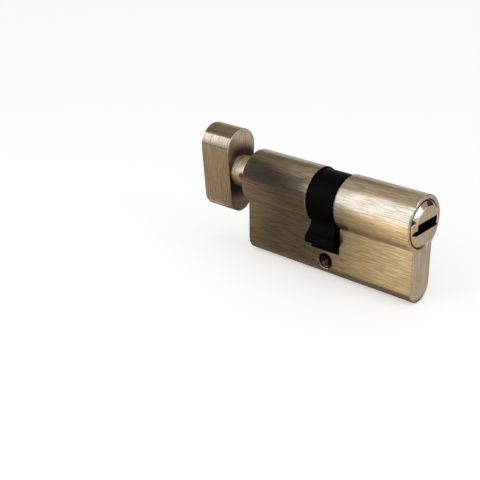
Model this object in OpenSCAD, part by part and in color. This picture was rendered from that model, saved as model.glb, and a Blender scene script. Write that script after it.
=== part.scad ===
// Profile cylinder with a key plug on one side and a thumbturn on the other.
// X runs along the plug towards the key side, Y goes across, Z is up.
// The origin is the centre of the fixing-screw hole, from which such cylinders are measured.

/* [Housing] */
// Length from the fixing screw to the key face
key_half = 30; // [30:1:45]
// Length from the fixing screw to the thumbturn face
knob_half = 30; // [30:1:45]
// Diameter of the round upper barrel
barrel_d = 17; // [17:0.1:17.4]
// Thickness of the leg below the barrel
leg_w = 10; // [9.8:0.1:10.2]
// Overall height, from the top of the barrel to the foot of the leg
body_h = 33; // [32.6:0.1:33.4]
// Height of the plug axis above the fixing screw
axis_h = 19; // [18.8:0.1:19.2]
// Small chamfer on the ends of both halves
edge = 0.25; // [0.1:0.05:0.4]

/* [Fixing screw] */
// Diameter of the tapped hole wall
screw_d = 4.6; // [4.2:0.1:4.8]
// Diameter of the countersink at each side of the leg
sink_d = 5.8; // [5.4:0.1:6.2]

/* [Cam] */
// Width of the slot between the two halves
slot_w = 10; // [9.8:0.1:10.4]
// Width of the cam along the axis
cam_w = 9; // [8.6:0.1:9]
// Outer diameter of the cam ring
cam_ring_d = 16; // [15.8:0.1:16.2]
// Reach of the cam lug from the axis
cam_reach = 15.1; // [14.8:0.1:15.2]
// Angle of the lug from straight down, towards -Y
cam_angle = 19.5; // [0:0.5:45]
// Width of the lug near its tip
lug_w = 8.5; // [8:0.1:9]
// Radius of the hollow on each side of the lug's neck
lug_hollow_r = 4.35; // [4:0.05:5]
// Width of the lug at its neck
lug_neck_w = 6; // [5.5:0.1:7]

/* [Plug] */
// Diameter of the plug body
plug_d = 13; // [12.9:0.05:13.1]
// Diameter of the flange behind the key face
flange_d = 13.7; // [13.6:0.1:13.9]
// Diameter of the flat on the nose
nose_d = 11.2; // [10.8:0.1:11.8]
// How far the nose stands out of the housing
nose_proud = 1; // [0.6:0.1:1.4]
// Height of the keyway
key_h = 3.2; // [3:0.1:3.4]
// Depth of the milled lead-in beside the keyway
lead_in = 0.8; // [0.4:0.1:1]

/* [Pins] */
// Number of pin pairs
pin_count = 5; // [3:1:5]
// Distance between two pins
pin_pitch = 4; // [3.8:0.1:4]
// Distance from the key face to the first pin
first_pin = 5.2; // [5:0.1:6]
// Diameter of the pins
pin_d = 3; // [2.8:0.1:3]
// How far each key pin stands in its dimple of the key
dimple_depths = [0.35, 0.8, 0.55, 0.95, 0.65];
// Length of each driver pin
driver_h = 5.5; // [5:0.1:6]

/* [Thumbturn] */
// Thickness of the turn along the axis
turn_t = 11.3; // [9:0.1:13]
// Gap between the housing and the turn's inner face
turn_gap = 7.25; // [5:0.05:10]
// Radius of the upper end of the turn
turn_top_r = 6.4; // [6:0.1:7]
// Radius of the lower end of the turn
turn_foot_r = 5.1; // [4.5:0.1:5.6]
// Height of the top of the turn above the axis
turn_top = 13.7; // [12:0.1:15]
// Depth of the foot of the turn below the axis
turn_foot = 13.95; // [12:0.05:15]
// Diameter of the round neck
neck_d = 10; // [9.5:0.1:10.5]

/* [Hidden] */
$fn = 96;

nickel = [0.66, 0.60, 0.52];
brass = [0.80, 0.65, 0.32];
steel = [0.72, 0.73, 0.74];
black_steel = [0.06, 0.06, 0.065];

cut = 0.02; // extra length where one shape cuts through another
run = 0.05; // radial clearance of a turning fit
slip = 0.03; // radial clearance of a sliding pin

barrel_r = barrel_d / 2;
foot_r = leg_w / 2;
foot_z = barrel_r - body_h + foot_r; // height of the foot's centre, from the plug axis
slot_half = slot_w / 2;
slot_floor = -(cam_reach + 0.3);
bridge_half = slot_half + 2 * edge;

plug_r = plug_d / 2;
plug_bore_r = plug_r + run;
flange_r = flange_d / 2;
mouth_r = flange_r + 0.35;
mouth_x = key_half - 1.2;
cone_x = key_half - 0.1;
nose_x = key_half + nose_proud;
tail_x = 1.2; // inner end of the plug, inside the cam

spindle_r = neck_d / 2;
spindle_bore_r = spindle_r + run;
shank_r = 3.5;
shank_end = -(knob_half + 5.8);
turn_x1 = -(knob_half + turn_gap);
turn_x0 = turn_x1 - turn_t;
turn_top_z = turn_top - turn_top_r;
turn_foot_z = turn_foot_r - turn_foot;
tuck = 0.01; // the turn's flanks lie this far inside its round ends

cam_left = -slot_half + 0.1;
cam_right = cam_left + cam_w;
clip_t = 0.7; // thickness of the two spring clips
clip_gap = 0.05;
groove = 0.7; // depth of the grooves for the clips
plug_clip_r = 7.5;
plug_clip_x = cam_right + 0.1;
spindle_clip_r = 5.9;
spindle_clip_x = -4.93;
clip_recess_r = spindle_clip_r + 0.15; // recess of the cam around the spindle clip
clip_recess_x = -4.1;

dog_w = 3; // width of the clutch ears and the spindle ears
dog_r = spindle_r - 0.05;
hub_r = 3.4;
hub_bore_r = hub_r + run;
clutch_len = 3;
keyway_x = 7.5; // from here on the keyway is open at the plug's side
web_left = -3.55; // the cam's driving web runs between these two stations
spindle_end = web_left - run;
dog_end = -1; // inner end of the spindle's ears
web_right = tail_x - 0.2;
pocket_r = 1.9; // pocket of the clutch spring
pocket_x = -5.2;
clutch_back = tail_x + 0.1;
coil_r = 1.45;
wire_r = 0.18;

pin_r = pin_d / 2;
chamber_r = pin_r + slip;
tip_r = 0.9;
tip_bore_r = 0.95;
step_z = -3.0; // shoulder in the plug that stops a key pin
key_pin_rise = 0.9;
shear_z = -plug_r;
driver_top = shear_z - 0.06;
driver_foot = driver_top - driver_h;
cap_r = pin_r + 0.15;
cap_top = -22;
spring_r = 1.15;
screw_x = -(knob_half + 3); // station of the grub screw in the turn's neck
grub_r = 1.3;

function pin_x(i) = key_half - first_pin - pin_pitch * (i - 1);

// places a shape on the plug axis
module on_axis() translate([0, 0, axis_h]) children();

// a round bar along X from x0 to x1
module bar(x0, x1, r) translate([x0, 0, 0]) rotate([0, 90, 0]) cylinder(h = x1 - x0, r = r);

// a cone along X from radius r0 at x0 to radius r1 at x1
module taper(x0, x1, r0, r1) translate([x0, 0, 0]) rotate([0, 90, 0]) cylinder(h = x1 - x0, r1 = r0, r2 = r1);

// a flat ring along X
module ring(x0, x1, r_out, r_in) difference() {
    bar(x0, x1, r_out);
    bar(x0 - cut, x1 + cut, r_in);
}

// a block given by its two corners
module block(low, high) translate(low) cube(high - low);

// an outline drawn in Y and Z, extruded along X
module along_x(x0, x1) translate([x0, 0, 0]) rotate([90, 0, 90]) linear_extrude(x1 - x0) children();

// helical wire with its axis on Z, from height 0 to h
module coil(h, mean_r, wire, turns) {
    sides = 6;
    steps = 10 * turns;
    rise = h - 2 * wire;
    points = [for (s = [0 : steps], k = [0 : sides - 1])
        let (a = 360 * turns * s / steps, b = 360 * k / sides, r = mean_r + wire * cos(b))
        [r * cos(a), r * sin(a), wire + rise * s / steps + wire * sin(b)]];
    walls = [for (s = [0 : steps - 1], k = [0 : sides - 1], half = [0, 1])
        let (n = (k + 1) % sides, p = s * sides)
        half == 0 ? [p + k, p + sides + k, p + sides + n] : [p + k, p + sides + n, p + n]];
    start = [[for (k = [0 : sides - 1]) k]];
    end = [[for (k = [0 : sides - 1]) steps * sides + sides - 1 - k]];
    polyhedron(points, concat(walls, start, end), convexity = 10);
}

// Housing

// one half of the housing with chamfered ends
module half(x0, x1) {
    for (part = [[0, barrel_r], [foot_z, foot_r]])
        translate([0, 0, part[0]]) {
            bar(x0 + edge, x1 - edge, part[1]);
            taper(x0, x0 + edge, part[1] - edge, part[1]);
            taper(x1 - edge, x1, part[1], part[1] - edge);
        }
    translate([0, 0, foot_z]) linear_extrude(-foot_z) leg_plan(x0, x1);
}

// the leg seen from above, with its end corners cut
module leg_plan(x0, x1) polygon([
    [x0, edge - foot_r], [x0 + edge, -foot_r], [x1 - edge, -foot_r], [x1, edge - foot_r],
    [x1, foot_r - edge], [x1 - edge, foot_r], [x0 + edge, foot_r], [x0, foot_r - edge]]);

// the thin bridge below the cam slot that joins the halves
module bridge() {
    difference() {
        translate([0, 0, foot_z]) bar(-bridge_half, bridge_half, foot_r);
        block([-slot_half, -foot_r, slot_floor], [slot_half, foot_r, foot_z + foot_r + 1]);
    }
    block([-bridge_half, -foot_r, foot_z], [bridge_half, foot_r, slot_floor]);
}

// tapped hole for the fixing screw, countersunk at both sides
module fixing_hole() translate([0, 0, -axis_h]) rotate([90, 0, 0]) {
    sink = (sink_d - screw_d) / 2;
    cylinder(h = leg_w + 2, d = screw_d, center = true);
    for (side = [0, 1]) mirror([0, 0, side])
        translate([0, 0, foot_r - sink]) cylinder(h = sink + cut, d1 = screw_d, d2 = sink_d + 2 * cut);
}

module housing() color(nickel) on_axis() difference() {
    union() {
        half(slot_half, key_half);
        half(-knob_half, -slot_half);
        bridge();
    }
    fixing_hole();
    bar(slot_half - 1, key_half + 1, plug_bore_r);
    bar(mouth_x, key_half + 1, mouth_r);
    taper(key_half - edge, key_half + cut, mouth_r, mouth_r + edge + cut);
    bar(-knob_half - 1, -slot_half + 1, spindle_bore_r);
    taper(-knob_half - cut, -knob_half + edge, spindle_bore_r + edge + cut, spindle_bore_r);
    for (i = [1 : pin_count]) translate([pin_x(i), 0, 0]) {
        translate([0, 0, foot_z - foot_r - 1]) cylinder(h = -foot_z + foot_r, r = chamber_r);
        translate([0, 0, foot_z - foot_r - 1]) cylinder(h = cap_top - foot_z + foot_r + 1, r = cap_r);
    }
}

// plugs that close the pin chambers, finished flush with the round foot
module chamber_plug(i) color(nickel) on_axis() intersection() {
    translate([pin_x(i), 0, foot_z - foot_r - 1]) cylinder(h = cap_top - foot_z + foot_r + 1, r = cap_r);
    translate([0, 0, foot_z]) bar(pin_x(i) - 3, pin_x(i) + 3, foot_r);
}

// Key plug

// keyway seen along the axis: the full height to the right, a thin wing to the left
module keyway(x0, x1, open_y) {
    wing_y = 6;
    step_y = 3.6;
    wing_h = 0.85;
    block([x0, -step_y, -key_h / 2], [x1, open_y, key_h / 2]);
    block([x0, -wing_y, -key_h / 2], [x1, -step_y + cut, -key_h / 2 + wing_h]);
}

// chamber at the tail in which the clutch slides
module clutch_chamber() {
    depth = clutch_back + clutch_len + run;
    bar(tail_x - 1, depth, hub_bore_r);
    intersection() {
        block([tail_x - 1, -plug_r, -dog_w / 2 - run], [depth, plug_r, dog_w / 2 + run]);
        bar(tail_x - 1, depth, spindle_bore_r);
    }
}

// stepped bore of one key pin, from the plug's underside into the keyway
module key_pin_bore(i) translate([pin_x(i), 0, 0]) {
    translate([0, 0, -plug_r - 1]) cylinder(h = plug_r + 1 + step_z, r = chamber_r);
    translate([0, 0, step_z - cut]) cylinder(h = -step_z, r = tip_bore_r);
}

module key_plug() color(nickel) on_axis() difference() {
    union() {
        bar(tail_x, mouth_x + 0.5, plug_r);
        bar(mouth_x + run, cone_x, flange_r);
        taper(cone_x, nose_x, flange_r, nose_d / 2);
    }
    ring(plug_clip_x - clip_gap, plug_clip_x + clip_t + clip_gap, plug_r + 1, plug_r - groove);
    keyway(keyway_x, nose_x + 1, flange_r + 1);
    keyway(clutch_back + clutch_len - 0.3, keyway_x + cut, plug_r - 1.5);
    block([nose_x - lead_in, -flange_r - 1, -key_h / 2], [nose_x + 1, 0, key_h / 2]);
    clutch_chamber();
    for (i = [1 : pin_count]) key_pin_bore(i);
}

// open spring clip, its mouth turned upwards
module clip(x0, r_out, r_in, mouth) difference() {
    ring(x0, x0 + clip_t, r_out, r_in);
    block([x0 - cut, -mouth / 2, 0], [x0 + clip_t + cut, mouth / 2, r_out + 1]);
}

module plug_clip() color(steel) on_axis() clip(plug_clip_x, plug_clip_r, plug_r - groove + run, 8);

// Pins

module key_pin(i) color(brass) on_axis() translate([pin_x(i), 0, 0]) {
    tip_z = -key_h / 2 + dimple_depths[i - 1];
    shoulder_z = step_z - key_pin_rise;
    foot = shear_z + 0.1;
    translate([0, 0, foot]) cylinder(h = 0.3, r1 = pin_r - 0.6, r2 = pin_r);
    translate([0, 0, foot + 0.3]) cylinder(h = shoulder_z - foot - 0.3, r = pin_r);
    translate([0, 0, shoulder_z]) cylinder(h = tip_z - shoulder_z - 0.4, r = tip_r);
    translate([0, 0, tip_z - 0.4]) cylinder(h = 0.4, r1 = tip_r, r2 = tip_r - 0.4);
}

module driver_pin(i) color(steel) on_axis() translate([pin_x(i), 0, 0]) {
    translate([0, 0, driver_foot]) cylinder(h = 0.2, r1 = pin_r - 0.2, r2 = pin_r);
    translate([0, 0, driver_foot + 0.2]) cylinder(h = driver_h - 0.4, r = pin_r);
    translate([0, 0, driver_top - 0.2]) cylinder(h = 0.2, r1 = pin_r, r2 = pin_r - 0.2);
}

module pin_spring(i) color(steel) on_axis()
    translate([pin_x(i), 0, cap_top]) coil(driver_foot - cap_top, spring_r, wire_r, 7);

// Cam and clutch

// lug outline with its tip upwards, about the axis
module lug_outline() {
    corner_r = 1.2;
    corner_y = lug_w / 2 - corner_r;
    corner_z = sqrt(pow(cam_reach - corner_r, 2) - pow(corner_y, 2));
    difference() {
        union() {
            translate([-lug_w / 2, 0]) square([lug_w, corner_z]);
            for (side = [-1, 1]) translate([side * corner_y, corner_z]) circle(corner_r);
            intersection() {
                circle(cam_reach);
                polygon([[0, 0], [2 * corner_y, 2 * corner_z], [-2 * corner_y, 2 * corner_z]]);
            }
        }
        for (side = [-1, 1])
            translate([side * (lug_neck_w / 2 + lug_hollow_r), 9]) circle(lug_hollow_r);
    }
}

module cam() color(black_steel) on_axis() difference() {
    union() {
        rotate([90, 0, 0]) bar(cam_left, cam_right, cam_ring_d / 2);
        rotate([180 - cam_angle, 0, 0]) along_x(cam_left, cam_right) lug_outline();
    }
    bar(cam_left - 1, clip_recess_x, clip_recess_r);
    bar(cam_left - 1, web_left, spindle_bore_r);
    bar(web_right, cam_right + 1, plug_bore_r);
    bar(web_left - 1, web_right + 1, hub_bore_r);
    intersection() {
        block([web_left - 1, -plug_r, -dog_w / 2 - run], [web_right + 1, plug_r, dog_w / 2 + run]);
        bar(web_left - 1, web_right + 1, spindle_bore_r);
    }
}

// round hub with two ears, used on the clutch and on the end of the spindle
module dog(x0, x1) {
    bar(x0, x1, hub_r);
    intersection() {
        block([x0, -dog_r, -dog_w / 2], [x1, dog_r, dog_w / 2]);
        bar(x0, x1, dog_r);
    }
}

module clutch() color(steel) on_axis() {
    front = clutch_back + clutch_len;
    difference() {
        union() {
            dog(clutch_back, front);
            bar(front - cut, front + 1.5, 1.2);
        }
        bar(clutch_back - 1, clutch_back + 1.5, pocket_r);
    }
}

// drawn at its pressed length, standing in the clutch
module clutch_spring() color(steel) on_axis()
    translate([-3, 0, 0]) rotate([0, 90, 0]) coil(clutch_back + 4.5, coil_r, wire_r, 6);

// Thumbturn side

module knob_spindle() color(steel) on_axis() difference() {
    union() {
        bar(-knob_half + 0.3, spindle_end, spindle_r);
        bar(shank_end, -knob_half + 0.3 + cut, shank_r);
        dog(spindle_end - cut, dog_end);
    }
    ring(spindle_clip_x - clip_gap, spindle_clip_x + clip_t + clip_gap, spindle_r + 1, spindle_r - groove);
    bar(pocket_x, 0, pocket_r);
    translate([screw_x, -shank_r - cut, 0]) rotate([-90, 0, 0]) cylinder(h = 0.6, r1 = 0.7, r2 = 0.1);
}

module spindle_clip() color(steel) on_axis() clip(spindle_clip_x, spindle_clip_r, spindle_r - groove + run, 6);

// outline of the turn: two round ends joined by straight flanks
module turn_outline() {
    lean = asin((turn_top_r - turn_foot_r) / (turn_top_z - turn_foot_z));
    ends = [[turn_top_z, turn_top_r], [turn_foot_z, turn_foot_r]];
    for (end = ends) translate([0, end[0]]) circle(end[1]);
    polygon([for (place = [[0, 1], [0, -1], [1, -1], [1, 1]])
        let (end = ends[place[0]], r = end[1] - tuck)
        [place[1] * r * cos(lean), end[0] - r * sin(lean)]]);
}

module thumbturn() color(nickel) on_axis() difference() {
    union() {
        along_x(turn_x0, turn_x1) turn_outline();
        bar(turn_x1 - 1, -knob_half - 0.15, neck_d / 2);
    }
    bar(shank_end - 0.3, -knob_half + 1, shank_r + 0.02);
    translate([screw_x, 0, 0]) rotate([90, 0, 0]) cylinder(h = neck_d, r = grub_r);
}

// socket set screw with a cone point, seated in the spindle's dimple
module grub_screw() color(steel) on_axis() translate([screw_x, 0, 0]) rotate([90, 0, 0]) difference() {
    union() {
        translate([0, 0, 3.1]) cylinder(h = 0.5, r1 = 0.2, r2 = 0.75);
        translate([0, 0, 3.6]) cylinder(h = 1.0, r = grub_r);
    }
    translate([0, 0, 4]) cylinder(h = 1, d = 1.5, $fn = 6);
}

housing();
key_plug();
plug_clip();
cam();
clutch();
clutch_spring();
knob_spindle();
spindle_clip();
thumbturn();
grub_screw();
for (i = [1 : pin_count]) {
    key_pin(i);
    driver_pin(i);
    pin_spring(i);
    chamber_plug(i);
}
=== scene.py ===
import math
import bmesh
import bpy
from mathutils import Matrix, Vector


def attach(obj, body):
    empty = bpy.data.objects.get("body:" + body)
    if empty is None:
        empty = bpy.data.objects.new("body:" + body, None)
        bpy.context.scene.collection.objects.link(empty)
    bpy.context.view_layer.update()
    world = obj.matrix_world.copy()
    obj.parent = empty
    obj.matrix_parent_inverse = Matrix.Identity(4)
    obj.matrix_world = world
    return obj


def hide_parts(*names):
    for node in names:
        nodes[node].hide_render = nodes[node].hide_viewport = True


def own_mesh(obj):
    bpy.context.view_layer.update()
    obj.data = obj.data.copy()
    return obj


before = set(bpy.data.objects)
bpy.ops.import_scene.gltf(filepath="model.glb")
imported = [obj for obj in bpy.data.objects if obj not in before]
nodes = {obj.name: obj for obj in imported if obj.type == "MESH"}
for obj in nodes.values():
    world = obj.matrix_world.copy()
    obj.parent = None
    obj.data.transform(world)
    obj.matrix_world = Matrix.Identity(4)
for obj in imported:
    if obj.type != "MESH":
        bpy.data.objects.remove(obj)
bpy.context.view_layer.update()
mm = 0.001
print("frame loaded:", len(nodes), "nodes")


def hexColour(text):
    # sRGB hex to the linear values that Blender's sockets take
    parts = [int(text[i:i + 2], 16) / 255 for i in (0, 2, 4)]
    linear = [c / 12.92 if c <= 0.04045 else ((c + 0.055) / 1.055) ** 2.4 for c in parts]
    return (*linear, 1.0)


def addNode(tree, kind, sockets=None, **settings):
    # a node with its settings; a socket takes a plain value or another node's output
    made = tree.nodes.new(kind)
    for name, value in settings.items():
        setattr(made, name, value)
    for socket, value in (sockets or {}).items():
        if isinstance(value, bpy.types.NodeSocket):
            tree.links.new(value, made.inputs[socket])
        else:
            made.inputs[socket].default_value = value
    return made


def newMaterial(name):
    material = bpy.data.materials.new(name)
    material.use_nodes = True
    material.node_tree.nodes.clear()
    return material, material.node_tree


def selectOnly(obj):
    bpy.ops.object.select_all(action="DESELECT")
    obj.select_set(True)
    bpy.context.view_layer.objects.active = obj


def applyAll(obj):
    selectOnly(obj)
    for name in [m.name for m in obj.modifiers]:
        bpy.ops.object.modifier_apply(modifier=name)


def brushedMetal(name, look):
    # fine brush lines: "along" run with the plug axis, "around" run up and over; end faces have upright lines
    material, tree = newMaterial(name)
    place = addNode(tree, "ShaderNodeTexCoord")
    facing = addNode(tree, "ShaderNodeSeparateXYZ", {"Vector": place.outputs["Normal"]})
    endOn = addNode(tree, "ShaderNodeMath", {0: facing.outputs["X"]}, operation="ABSOLUTE")
    isEnd = addNode(tree, "ShaderNodeMath", {0: endOn.outputs[0], 1: 0.75}, operation="GREATER_THAN")
    across, along = 1 / (look["lineWidth"] * mm), 1 / (look["lineLength"] * mm)
    sideScale = (along, across, across) if look["lines"] == "along" else (across, along, along)
    grain = 0.0
    # single hairlines, and the broader bands that many of them make together
    for share, broader, longer in ((1 - look["bands"], 1.0, 1.0), (look["bands"], 5.0, 2.5)):
        layer = []
        for scale in (sideScale, (across, across, along)):
            mapped = addNode(tree, "ShaderNodeMapping", {
                "Vector": place.outputs["Object"], "Location": (broader, longer, broader),
                "Scale": tuple(value / (broader if value == across else longer) for value in scale)})
            layer.append(addNode(tree, "ShaderNodeTexNoise", {
                "Vector": mapped.outputs["Vector"], "Scale": 1.0, "Detail": 3.0, "Roughness": 0.6}))
        both = addNode(tree, "ShaderNodeMix", {
            "Factor": isEnd.outputs[0], 2: layer[0].outputs["Fac"], 3: layer[1].outputs["Fac"]})
        grain = addNode(tree, "ShaderNodeMath", {0: both.outputs[0], 1: share, 2: grain},
                        operation="MULTIPLY_ADD").outputs[0]
    ranged = addNode(tree, "ShaderNodeMapRange", {"Value": grain, "From Min": 0.38, "From Max": 0.62})
    tint = addNode(tree, "ShaderNodeMix", {
        "Factor": ranged.outputs[0], 6: hexColour(look["darkHex"]), 7: hexColour(look["lightHex"])},
        data_type="RGBA").outputs[2]
    rough = addNode(tree, "ShaderNodeMapRange", {
        "Value": grain, "From Min": 0.38, "From Max": 0.62,
        "To Min": look["roughness"] + look["roughSpread"],
        "To Max": look["roughness"] - look["roughSpread"]}).outputs[0]
    if "hollow" in look:
        # painted shade: milled, drilled and tucked-in places get a darker colour; in the hole and the keyway this is
        # partly the bare brass under the plate
        inside = look["hollow"](tree, place)
        tint = addNode(tree, "ShaderNodeMix", {
            "Factor": inside, 6: tint, 7: hexColour(look["hollowHex"])}, data_type="RGBA").outputs[2]
    if "coarse" in look:
        # the feed marks of a lathe spread the gloss more than the brush does, and show brass between them
        turned = look["coarse"](tree, place)
        marks = addNode(tree, "ShaderNodeMix", {
            "Factor": ranged.outputs[0], 6: hexColour(look["coarseDarkHex"]), 7: hexColour(look["coarseLightHex"])},
            data_type="RGBA").outputs[2]
        tint = addNode(tree, "ShaderNodeMix", {"Factor": turned, 6: tint, 7: marks}, data_type="RGBA").outputs[2]
        rough = addNode(tree, "ShaderNodeMix", {
            "Factor": turned, 2: rough, 3: look["coarseRoughness"]}).outputs[0]
    bump = addNode(tree, "ShaderNodeBump", {
        "Height": grain, "Strength": look["bumpStrength"], "Distance": look["bumpDepth"] * mm})
    # the gloss spreads across the lines, seldom along them
    spread = (1.0, 0.0, 0.0)
    if look["lines"] == "along":
        spread = addNode(tree, "ShaderNodeVectorMath", {
            0: place.outputs["Normal"], 1: (1.0, 0.0, 0.0)}, operation="CROSS_PRODUCT").outputs[0]
    spread = addNode(tree, "ShaderNodeMix", {
        "Factor": isEnd.outputs[0], 4: spread, 5: (0.0, 1.0, 0.0)}, data_type="VECTOR").outputs[1]
    tangent = addNode(tree, "ShaderNodeVectorTransform", {
        "Vector": spread}, vector_type="VECTOR", convert_from="OBJECT", convert_to="WORLD")
    shader = addNode(tree, "ShaderNodeBsdfPrincipled", {
        "Base Color": tint, "Roughness": rough, "Metallic": 1.0, "Anisotropic": look["anisotropy"],
        "Tangent": tangent.outputs[0], "Normal": bump.outputs[0]})
    addNode(tree, "ShaderNodeOutputMaterial", {"Surface": shader.outputs[0]})
    return material


def plainMetal(name, look):
    # fine cloudy grain in the colour, the gloss and the surface; "pale", where given, marks where the light colour
    # goes, as the painted glints on the thread do
    material, tree = newMaterial(name)
    place = addNode(tree, "ShaderNodeTexCoord")
    mapped = addNode(tree, "ShaderNodeMapping", {
        "Vector": place.outputs["Object"], "Scale": (1 / (look["grain"] * mm),) * 3})
    cloud = addNode(tree, "ShaderNodeTexNoise", {
        "Vector": mapped.outputs["Vector"], "Scale": 1.0, "Detail": 3.0, "Roughness": 0.6})
    pale = look["pale"](tree, place) if "pale" in look else cloud.outputs["Fac"]
    tint = addNode(tree, "ShaderNodeMix", {
        "Factor": pale, 6: hexColour(look["darkHex"]), 7: hexColour(look["lightHex"])},
        data_type="RGBA")
    rough = addNode(tree, "ShaderNodeMapRange", {
        "Value": cloud.outputs["Fac"], "From Min": 0.3, "From Max": 0.7,
        "To Min": look["roughness"] - look["roughSpread"], "To Max": look["roughness"] + look["roughSpread"]})
    bump = addNode(tree, "ShaderNodeBump", {
        "Height": cloud.outputs["Fac"], "Strength": look["bumpStrength"], "Distance": look["bumpDepth"] * mm})
    shader = addNode(tree, "ShaderNodeBsdfPrincipled", {
        "Base Color": tint.outputs[2], "Roughness": rough.outputs[0], "Metallic": look["metallic"],
        "Specular IOR Level": look.get("shine", 0.5), "Normal": bump.outputs[0]})
    addNode(tree, "ShaderNodeOutputMaterial", {"Surface": shader.outputs[0]})
    return material


def fromAxis(tree, place):
    # distance from the plug's axis, which runs along X at 19 mm above the origin
    centred = addNode(tree, "ShaderNodeVectorMath", {
        0: place.outputs["Object"], 1: (0.0, 0.0, -19.0 * mm)}, operation="ADD")
    flat = addNode(tree, "ShaderNodeVectorMath", {
        0: centred.outputs[0], 1: (0.0, 1.0, 1.0)}, operation="MULTIPLY")
    return addNode(tree, "ShaderNodeVectorMath", {0: flat.outputs[0]}, operation="LENGTH").outputs["Value"]


def plugShade(tree, place):
    # painted shade: 1 on the walls of the keyway, behind its lead-in, where milled brass also shows, and on the
    # plug's round side within the bore
    spot = addNode(tree, "ShaderNodeSeparateXYZ", {"Vector": place.outputs["Object"]})
    facing = addNode(tree, "ShaderNodeSeparateXYZ", {"Vector": place.outputs["Normal"]})
    height = addNode(tree, "ShaderNodeMath", {0: spot.outputs["Z"], 1: 19.0 * mm, 2: 1.62 * mm},
                     operation="COMPARE")
    sideways = addNode(tree, "ShaderNodeMath", {0: facing.outputs["X"], 1: 0.0, 2: 0.3}, operation="COMPARE")
    behind = addNode(tree, "ShaderNodeMath", {0: spot.outputs["X"], 1: 30.97 * mm}, operation="LESS_THAN")
    slot = addNode(tree, "ShaderNodeMath", {0: height.outputs[0], 1: behind.outputs[0]}, operation="MULTIPLY")
    rounds = addNode(tree, "ShaderNodeMath", {0: fromAxis(tree, place), 1: 6.3 * mm}, operation="GREATER_THAN")
    # painted shade on the plug's round side, in the gap within the bore
    boreSideShade = addNode(tree, "ShaderNodeMath", {0: rounds.outputs[0], 1: 0.7}, operation="MULTIPLY")
    either = addNode(tree, "ShaderNodeMath", {0: slot.outputs[0], 1: boreSideShade.outputs[0]}, operation="MAXIMUM")
    return addNode(tree, "ShaderNodeMath", {0: either.outputs[0], 1: sideways.outputs[0]},
                   operation="MULTIPLY").outputs[0]


def fromHole(tree, place):
    # distance from the axis of the fixing screw's hole, which runs along Y through the origin
    flat = addNode(tree, "ShaderNodeVectorMath", {
        0: place.outputs["Object"], 1: (1.0, 0.0, 1.0)}, operation="MULTIPLY")
    return addNode(tree, "ShaderNodeVectorMath", {0: flat.outputs[0]}, operation="LENGTH").outputs["Value"]


def threadGlints(tree, place):
    # painted glints: 1 on the crests along the bottom of the hole, fading higher up; 0 in the roots, which painted
    # shade keeps nearly black
    crest = addNode(tree, "ShaderNodeMapRange", {
        "Value": fromHole(tree, place), "From Min": 2.11 * mm, "From Max": 2.19 * mm,
        "To Min": 1.0, "To Max": 0.0})
    spot = addNode(tree, "ShaderNodeSeparateXYZ", {"Vector": place.outputs["Object"]})
    bottom = addNode(tree, "ShaderNodeMapRange", {
        "Value": spot.outputs["Z"], "From Min": -1.6 * mm, "From Max": -0.6 * mm, "To Min": 1.0, "To Max": 0.1})
    return addNode(tree, "ShaderNodeMath", {0: crest.outputs[0], 1: bottom.outputs[0]},
                   operation="MULTIPLY").outputs[0]


def boresShade(tree, place):
    # painted shade: 1 in the fixing screw's hole, on the wall of the plug's bore and in the cam's slot; less on the
    # side of the hole's chamfer that faces along X. In the hole it is partly the bare brass left by the tap
    radius = fromHole(tree, place)
    wall = addNode(tree, "ShaderNodeMath", {0: radius, 1: 2.36 * mm}, operation="LESS_THAN")
    facing = addNode(tree, "ShaderNodeSeparateXYZ", {"Vector": place.outputs["Normal"]})
    rim = addNode(tree, "ShaderNodeMath", {0: radius, 1: 3.2 * mm}, operation="LESS_THAN")
    # painted shade on the chamfer's side that faces along X
    chamfer = addNode(tree, "ShaderNodeMapRange", {
        "Value": facing.outputs["X"], "From Min": 0.3, "From Max": 0.5, "To Min": 0.0, "To Max": 0.6})
    chamfer = addNode(tree, "ShaderNodeMath", {0: rim.outputs[0], 1: chamfer.outputs[0]}, operation="MULTIPLY")
    hole = addNode(tree, "ShaderNodeMath", {0: wall.outputs[0], 1: chamfer.outputs[0]}, operation="MAXIMUM")
    sideways = addNode(tree, "ShaderNodeMath", {0: facing.outputs["X"], 1: 0.0, 2: 0.3}, operation="COMPARE")
    within = addNode(tree, "ShaderNodeMath", {0: fromAxis(tree, place), 1: 7.6 * mm}, operation="LESS_THAN")
    bore = addNode(tree, "ShaderNodeMath", {0: within.outputs[0], 1: sideways.outputs[0]}, operation="MULTIPLY")
    spot = addNode(tree, "ShaderNodeSeparateXYZ", {"Vector": place.outputs["Object"]})
    middle = addNode(tree, "ShaderNodeMath", {0: spot.outputs["X"], 1: 0.0, 2: 5.2 * mm}, operation="COMPARE")
    above = addNode(tree, "ShaderNodeMath", {0: spot.outputs["Z"], 1: 3.0 * mm}, operation="GREATER_THAN")
    # painted shade over the slot's walls and softened edges, all but the faces that look out along Y
    inward = addNode(tree, "ShaderNodeMath", {0: facing.outputs["Y"], 1: 0.0, 2: 0.93}, operation="COMPARE")
    slot = addNode(tree, "ShaderNodeMath", {0: middle.outputs[0], 1: above.outputs[0]}, operation="MULTIPLY")
    slot = addNode(tree, "ShaderNodeMath", {0: slot.outputs[0], 1: inward.outputs[0]}, operation="MULTIPLY")
    cut = addNode(tree, "ShaderNodeMath", {0: bore.outputs[0], 1: slot.outputs[0]}, operation="MAXIMUM")
    return addNode(tree, "ShaderNodeMath", {0: hole.outputs[0], 1: cut.outputs[0]}, operation="MAXIMUM").outputs[0]


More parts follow.
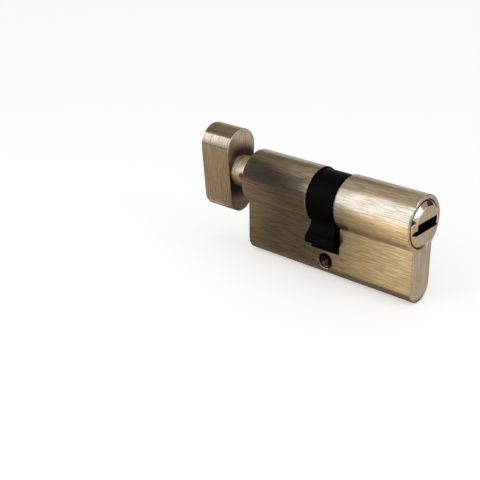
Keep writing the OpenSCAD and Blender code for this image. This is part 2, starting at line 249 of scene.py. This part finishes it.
def neckCornerShade(tree, place):
    # painted shade: 1 where the turn's inner face closes in on its round neck, fading out over the face
    facing = addNode(tree, "ShaderNodeSeparateXYZ", {"Vector": place.outputs["Normal"]})
    inward = addNode(tree, "ShaderNodeMath", {0: facing.outputs["X"], 1: 0.75}, operation="GREATER_THAN")
    fade = addNode(tree, "ShaderNodeMapRange", {
        "Value": fromAxis(tree, place), "From Min": 7.0 * mm, "From Max": 10.0 * mm, "To Min": 0.9, "To Max": 0.0})
    return addNode(tree, "ShaderNodeMath", {0: fade.outputs[0], 1: inward.outputs[0]},
                   operation="MULTIPLY").outputs[0]


def turnedNeck(tree, place):
    # 1 on the turn's round neck, from the turn's inner face on
    spot = addNode(tree, "ShaderNodeSeparateXYZ", {"Vector": place.outputs["Object"]})
    beyond = addNode(tree, "ShaderNodeMath", {0: spot.outputs["X"], 1: -37.2 * mm}, operation="GREATER_THAN")
    near = addNode(tree, "ShaderNodeMath", {0: fromAxis(tree, place), 1: 5.1 * mm}, operation="LESS_THAN")
    return addNode(tree, "ShaderNodeMath", {0: near.outputs[0], 1: beyond.outputs[0]},
                   operation="MULTIPLY").outputs[0]


def cadCopy(nodeName, pieceName):
    # a merged copy of a node's mesh, with its flat faces whole again
    source = nodes[nodeName]
    piece = bpy.data.objects.new(pieceName, source.data.copy())
    bpy.context.scene.collection.objects.link(piece)
    selectOnly(piece)
    if piece.data.has_custom_normals:
        bpy.ops.mesh.customdata_custom_splitnormals_clear()
    bpy.ops.object.mode_set(mode="EDIT")
    bpy.ops.mesh.select_all(action="SELECT")
    bpy.ops.mesh.remove_doubles(threshold=1e-6)
    bpy.ops.mesh.dissolve_limited(angle_limit=math.radians(0.5), use_dissolve_boundaries=False)
    bpy.ops.object.mode_set(mode="OBJECT")
    piece.data.materials.clear()
    return piece


def markCorners(piece, outside):
    # only outward corners are softened, and only those that lie further from the plug's axis than "outside" mm:
    # inward ones stay square, so that what slides there still fits
    mesh = bmesh.new()
    mesh.from_mesh(piece.data)
    weight = mesh.edges.layers.float.new("bevel_weight_edge")
    for edge in mesh.edges:
        middle = (edge.verts[0].co + edge.verts[1].co) / (2 * mm)
        if edge.calc_face_angle_signed(0.0) > math.radians(30) and math.hypot(middle.y, middle.z - 19) > outside:
            edge[weight] = 1.0
    mesh.to_mesh(piece.data)
    mesh.free()


def dressNode(pieceName, piece, material):
    # stand a soft-edged copy in for the CAD node, on the same body
    copy = cadCopy(piece["node"], pieceName)
    markCorners(copy, piece["outside"])
    bpy.ops.object.modifier_add(type="BEVEL")
    bevel = copy.modifiers[-1]
    bevel.width = piece["edge"] * mm
    bevel.segments = piece["segments"]
    bevel.limit_method = "WEIGHT"
    bevel.miter_outer = "MITER_ARC"
    applyAll(copy)
    # where the roundings meet they can leave faces of no width
    bpy.ops.object.mode_set(mode="EDIT")
    bpy.ops.mesh.select_all(action="SELECT")
    bpy.ops.mesh.remove_doubles(threshold=2e-6)
    bpy.ops.mesh.dissolve_degenerate(threshold=2e-6)
    bpy.ops.object.mode_set(mode="OBJECT")
    bpy.ops.object.shade_smooth_by_angle(angle=math.radians(35))
    # the wide faces keep their own shading right up to the softened edges
    bpy.ops.object.modifier_add(type="WEIGHTED_NORMAL")
    copy.modifiers[-1].weight = 100
    copy.modifiers[-1].keep_sharp = True
    applyAll(copy)
    copy.data.materials.append(material)
    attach(copy, piece["body"])
    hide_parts(piece["node"])
    print("dressed:", pieceName)


# housing: satin nickel plate over brass, brushed lengthwise; warm grey with fine lines and a soft drawn-out gloss
housing = {
    "node": "housing", "body": "shell", "slot": "brushed_nickel", "edge": 0.06, "segments": 2, "outside": 0,
    "darkHex": "B19E80", "lightHex": "E1D1B6", "roughness": 0.21, "roughSpread": 0.015, "anisotropy": 0.9,
    "lines": "along", "lineWidth": 0.22, "lineLength": 4.5, "bands": 0.2,
    "bumpStrength": 0.3, "bumpDepth": 0.01,
    # painted shade in the hole, the plug's bore and the cam's slot
    "hollow": boresShade, "hollowHex": "140D06",
}
brushedNickel = brushedMetal("brushedNickel", housing)
dressNode("housingBody", housing, brushedNickel)

# turn: the same plate, its sides brushed upright; the highlight along its top edge is short and bright
turn = {
    "node": "thumbturn", "body": "turn", "slot": "turn_nickel", "edge": 0.2, "segments": 3, "outside": 7,
    "darkHex": "B3A083", "lightHex": "E0CFB5", "roughness": 0.24, "roughSpread": 0.015, "anisotropy": 0.85,
    "lines": "around", "lineWidth": 0.22, "lineLength": 3.5, "bands": 0.2,
    "bumpStrength": 0.3, "bumpDepth": 0.01,
    # painted shade in the corner around the neck
    "hollow": neckCornerShade, "hollowHex": "2B2218", "coarse": turnedNeck, "coarseRoughness": 0.38,
    "coarseDarkHex": "C79B50", "coarseLightHex": "FFF6E4",
}
dressNode("turnPaddle", turn, brushedMetal("turnNickel", turn))

# plug: finer turned and polished nickel, so that its cone and face catch crisp light
plug = {
    "node": "key_plug", "body": "plug", "slot": "plug_nickel", "edge": 0.07, "segments": 2, "outside": 0,
    "darkHex": "BCA88A", "lightHex": "DCCBB0", "roughness": 0.13, "roughSpread": 0.02, "anisotropy": 0.3,
    "lines": "along", "lineWidth": 0.3, "lineLength": 6.0, "bands": 0.2,
    "bumpStrength": 0.06, "bumpDepth": 0.006,
    # painted shade in the keyway and on the plug's side within the bore
    "hollow": plugShade, "hollowHex": "2C200F",
}
dressNode("plugBody", plug, brushedMetal("plugNickel", plug))

# cam: sintered steel with a black oxide coat, nearly black and dull, slightly grainy
cam = {
    "node": "cam", "body": "cam", "slot": "black_steel", "edge": 0.22, "segments": 3, "outside": 7.6,
    "darkHex": "020202", "lightHex": "060606", "roughness": 0.5, "roughSpread": 0.06, "metallic": 0.0,
    "shine": 0.05, "grain": 0.35, "bumpStrength": 0.25, "bumpDepth": 0.02,
}
dressNode("camBody", cam, plainMetal("blackOxideSteel", cam))

# turned free-cutting steel: pale, a little glossy
turnedSteel = plainMetal("turnedSteel", dict(
    darkHex="B4B5B8", lightHex="CFD0D1", roughness=0.24, roughSpread=0.05, metallic=1.0, grain=0.5,
    bumpStrength=0.1, bumpDepth=0.004))
# hard-drawn spring wire: darker and smooth
springSteel = plainMetal("springSteel", dict(
    darkHex="8E8F93", lightHex="B2B3B6", roughness=0.3, roughSpread=0.05, metallic=1.0, grain=0.3,
    bumpStrength=0.1, bumpDepth=0.004))
# the set screw: zinc-plated steel, paler and a little dull
screwSteel = plainMetal("screwSteel", dict(
    darkHex="8F9194", lightHex="B0B2B4", roughness=0.36, roughSpread=0.06, metallic=1.0, grain=0.3,
    bumpStrength=0.15, bumpDepth=0.005))
# turned brass pins: yellow, clean
turnedBrass = plainMetal("turnedBrass", dict(
    darkHex="C99B4A", lightHex="E6C274", roughness=0.22, roughSpread=0.05, metallic=1.0, grain=0.4,
    bumpStrength=0.1, bumpDepth=0.004))
# brass left bare by the tap, with painted shade and painted glints: nearly black in its roots, orange glints on its
# crests
tappedBrassGlints = plainMetal("tappedBrassGlints", dict(
    darkHex="070301", lightHex="FFC27A", roughness=0.22, roughSpread=0.05, metallic=1.0, grain=0.3,
    bumpStrength=0.1, bumpDepth=0.004, pale=threadGlints))
nodeLooks = {
    "clutch": turnedSteel, "knob_spindle": turnedSteel, "plug_clip": springSteel, "spindle_clip": springSteel,
    "clutch_spring": springSteel, "grub_screw": screwSteel, "key_pin": turnedBrass, "driver_pin": turnedSteel,
    "pin_spring": springSteel, "chamber_plug": brushedNickel,
}
for name, obj in nodes.items():
    look = next((metal for start, metal in nodeLooks.items() if name.startswith(start)), None)
    if look:
        for slot in obj.material_slots:
            slot.material = look
print("small parts finished")

# the pin springs, which stand down on the chamber plugs: smooth-shaded copies of the CAD nodes, on the housing's
# body
springs = {"count": 5, "travel": 1.2}
for i in range(1, springs["count"] + 1):
    spring = cadCopy(f"pin_spring_{i}", f"pinSpring_{i}")
    bpy.ops.object.shade_smooth_by_angle(angle=math.radians(40))
    spring.data.materials.append(springSteel)
    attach(spring, "shell")
    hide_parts(f"pin_spring_{i}")
    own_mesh(spring)
print("springs fitted:", springs["count"])

# tapped thread of the fixing screw hole: M5, so 0.8 mm from ridge to ridge
thread = {"wallRadius": 2.33, "crestRadius": 2.08, "pitch": 0.8, "ridge": 0.56, "length": 8.6, "steps": 40}
bpy.ops.object.select_all(action="DESELECT")
bpy.ops.mesh.primitive_circle_add(vertices=3, radius=1.0)
ridge = bpy.context.object
ridge.name = "fixingThread"
turns = int((thread["length"] - thread["ridge"]) / thread["pitch"])
start = -turns * thread["pitch"] / 2
corners = [(thread["wallRadius"], start - thread["ridge"] / 2), (thread["crestRadius"], start),
           (thread["wallRadius"], start + thread["ridge"] / 2)]
for vertex, (r, y) in zip(ridge.data.vertices, corners):
    vertex.co = Vector((r, y, 0)) * mm
screw = ridge.modifiers.new("turns", "SCREW")
screw.axis = "Y"
screw.angle = math.radians(360)
screw.screw_offset = thread["pitch"] * mm
screw.iterations = turns
screw.steps = screw.render_steps = thread["steps"]
screw.use_merge_vertices = True
applyAll(ridge)
bpy.ops.object.mode_set(mode="EDIT")
bpy.ops.mesh.select_all(action="DESELECT")
bpy.ops.mesh.select_mode(type="EDGE")
bpy.ops.mesh.select_non_manifold(extend=False)
bpy.ops.mesh.fill()
bpy.ops.mesh.select_all(action="SELECT")
bpy.ops.mesh.normals_make_consistent(inside=False)
bpy.ops.object.mode_set(mode="OBJECT")
bpy.ops.object.shade_smooth_by_angle(angle=math.radians(30))
ridge.data.materials.append(tappedBrassGlints)
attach(ridge, "shell")
print("thread cut:", turns, "turns")

# camera at the photograph's place
shot = {
    "place": (149.6603, -212.0421, 124.1094),
    "right": (0.75141381, 0.65975265, -0.01018414),
    "up": (-0.26835639, 0.31966734, 0.90873409),
    "lens": 70.491,
}
cameraData = bpy.data.cameras.new("camera")
camera = bpy.data.objects.new("camera", cameraData)
bpy.context.scene.collection.objects.link(camera)
bpy.context.scene.camera = camera
right, up = Vector(shot["right"]).normalized(), Vector(shot["up"]).normalized()
back = right.cross(up)
turn = Matrix((right, up, back)).transposed().to_4x4()
camera.matrix_world = Matrix.Translation(Vector(shot["place"]) * mm) @ turn
cameraData.sensor_fit = "HORIZONTAL"
cameraData.sensor_width = 36.0
cameraData.lens = shot["lens"]
cameraData.clip_start, cameraData.clip_end = 0.01, 20.0

studio = {
    "floorHeight": -5.5,    # mm, the underside of the cylinder's foot
    "floorHex": "F2F2F2",
    "floorGlow": 0.45,      # what the floor adds to its own shade, so that it reads white
    "worldWhite": 1.0,
    "worldLight": 0.55,
}
bpy.ops.object.select_all(action="DESELECT")
bpy.ops.mesh.primitive_plane_add(size=6.0, location=(0, 0, studio["floorHeight"] * mm))
floor = bpy.context.object
floor.name = "floor"


def backgroundRays(tree):
    # 1 for the rays that see the white background: the camera's, and those that metal and glass mirror
    rays = addNode(tree, "ShaderNodeLightPath")
    seen = addNode(tree, "ShaderNodeMath", {0: rays.outputs["Is Camera Ray"], 1: rays.outputs["Is Glossy Ray"]},
                   operation="ADD")
    return addNode(tree, "ShaderNodeMath", {0: seen.outputs[0], 1: rays.outputs["Is Transmission Ray"]},
                   operation="ADD", use_clamp=True).outputs[0]


material, tree = newMaterial("paleFloor")
glow = addNode(tree, "ShaderNodeMath", {0: backgroundRays(tree), 1: studio["floorGlow"]}, operation="MULTIPLY")
matt = addNode(tree, "ShaderNodeBsdfDiffuse", {"Color": hexColour(studio["floorHex"])})
light = addNode(tree, "ShaderNodeEmission", {"Color": (1, 1, 1, 1), "Strength": glow.outputs[0]})
both = addNode(tree, "ShaderNodeAddShader", {0: matt.outputs[0], 1: light.outputs[0]})
addNode(tree, "ShaderNodeOutputMaterial", {"Surface": both.outputs[0]})
floor.data.materials.append(material)

world = bpy.data.worlds.new("studio")
bpy.context.scene.world = world
world.use_nodes = True
tree = world.node_tree
tree.nodes.clear()
level = addNode(tree, "ShaderNodeMapRange", {
    "Value": backgroundRays(tree), "To Min": studio["worldLight"], "To Max": studio["worldWhite"]})
sky = addNode(tree, "ShaderNodeBackground", {"Color": (1, 1, 1, 1), "Strength": level.outputs[0]})
addNode(tree, "ShaderNodeOutputWorld", {"Surface": sky.outputs[0]})


def aim(place, target):
    toTarget = (Vector(target) - Vector(place)) * mm
    return Matrix.Translation(Vector(place) * mm) @ toTarget.to_track_quat("-Z", "Y").to_matrix().to_4x4()


lamps = {
    # name: place, aimed at, width, height (mm), brightness
    "frontLamp": ((-102, -225, 160), (15, 0, 25), 125, 130, 1.6),
    "sideLamp": ((300, 20, 230), (30, 0, 20), 160, 130, 1.6),
}
for name, (place, target, width, height, brightness) in lamps.items():
    data = bpy.data.lights.new(name, "AREA")
    data.shape = "RECTANGLE"
    data.size, data.size_y = width * mm, height * mm
    data.energy = brightness * math.pi * data.size * data.size_y
    lamp = bpy.data.objects.new(name, data)
    bpy.context.scene.collection.objects.link(lamp)
    lamp.matrix_world = aim(place, target)
    lamp.visible_glossy = False

# white, grey and black cards stood around the metal as in a product studio; only the metal sees them.
# name: four corners in mm, tint, brightness, and for a card that fades the direction, start, end and last brightness
cards = {
    # the window-like light in front: the long highlight on the plug side
    "frontCard": (((-138, -268, -5), (-40, -268, -5), (-40, -75, 252), (-125, -75, 252)), "E0EAFF", 2.1, None),
    # its left neighbour, which only the turn and its neck mirror
    "turnCard": (((-208, -219, 25), (-269, -158, 262), (-345, -82, 235), (-280, -147, 2)), "F1F6FF", 0.5,
                 ((0, 0, 1), 25, 125, 3.5)),
    # high on the plug side: the bright facet of the plug's cone
    "sideCard": (((295, -170, 95), (270, 95, 150), (190, 85, 300), (215, -120, 310)), "C9DDFF", 3.6, None),
    "rightWall": (((330, -110, -5), (120, -340, -5), (120, -340, 145), (330, -110, 145)), "FFEED7", 0.02, None),
    "leftWall": (((-60, -420, -5), (-500, 20, -5), (-500, 20, 330), (-60, -420, 330)), "FFEED7", 0.02, None),
    "backWall": (((-520, 20, -5), (-520, 620, -5), (-520, 620, 330), (-520, 20, 330)), "FFF3E8", 0.1,
                 ((0, 1, 0), 0, 400, 0.5)),
    "farWall": (((-520, 600, -5), (500, 600, -5), (500, 600, 330), (-520, 600, 330)), "FFFDFC", 0.7,
                ((1, 0, 0), -150, 60, 0.05)),
    "roof": (((-520, -500, 330), (-520, 620, 330), (500, 620, 330), (500, -500, 330)), "FFF5E2", 0.16,
             ((1, 0, 0), -275, -190, 0.5)),
    "roofShade": (((-520, -500, 329), (-520, 0, 329), (-234, 0, 329), (-300, -500, 329)), "FFEED7", 0.02, None),
    # the table behind and at the right, with the cylinder's own shade behind the turn
    "table": (((-600, -5, -5.49), (600, -5, -5.49), (600, 600, -5.49), (-600, 600, -5.49)), "FFFAF8", 0.6, None),
    "tableShade": (((-90, 2, -5.47), (14, 2, -5.47), (32, 74, -5.47), (-90, 74, -5.47)), "FFEED7", 0.02,
                   ((0, 1, 0), 62, 74, 0.45)),
    # the table in front brightens away from the foot, a painted shadow of the cylinder in what the metal mirrors,
    # and is darkest beside its left half
    "tableFront": (((-600, -600, -5.49), (600, -600, -5.49), (600, -5, -5.49), (-600, -5, -5.49)), "FFF1D0", 0.72,
                   ((0, -1, 0), 15, 95, 1.45)),
    "tableDark": (((-600, -600, -5.47), (-369, -600, -5.47), (25.6, -5, -5.47), (-600, -5, -5.47)), "FFF0CA", 0.1,
                  ((0.83, -0.55, 0), -1, 23, 0.75)),
    "tableLeft": (((-600, -600, -5.45), (-417, -600, -5.45), (-22.6, -5, -5.45), (-600, -5, -5.45)), "FFEEDA", 0.1,
                  ((-0.83, 0.55, 0), 16, 50, 0.5)),
    # a dark card under and behind the foot: a painted shadow of the cylinder that only the metal mirrors
    "underFoot": (((-50, -7, -5.43), (31, -7, -5.43), (31, 55, -5.43), (-50, 55, -5.43)), "FFEED7", 0.16, None),
}
for name, (corners, tint, brightness, fade) in cards.items():
    bpy.ops.mesh.primitive_plane_add(size=1.0)
    card = bpy.context.object
    card.name = name
    for vertex, corner in zip(card.data.vertices, (corners[0], corners[1], corners[3], corners[2])):
        vertex.co = Vector(corner) * mm
    material, tree = newMaterial(name)
    if fade:
        direction, start, end, last = fade
        place = addNode(tree, "ShaderNodeTexCoord")
        reach = addNode(tree, "ShaderNodeVectorMath", {
            0: place.outputs["Object"], 1: direction}, operation="DOT_PRODUCT")
        brightness = addNode(tree, "ShaderNodeMapRange", {
            "Value": reach.outputs["Value"], "From Min": start * mm, "From Max": end * mm,
            "To Min": brightness, "To Max": last}).outputs[0]
    paper = addNode(tree, "ShaderNodeEmission", {"Color": hexColour(tint), "Strength": brightness})
    addNode(tree, "ShaderNodeOutputMaterial", {"Surface": paper.outputs[0]})
    card.data.materials.append(material)
    card.visible_camera = card.visible_diffuse = card.visible_shadow = card.visible_transmission = False
print("studio set")

bpy.context.scene.view_settings.view_transform = "Standard"
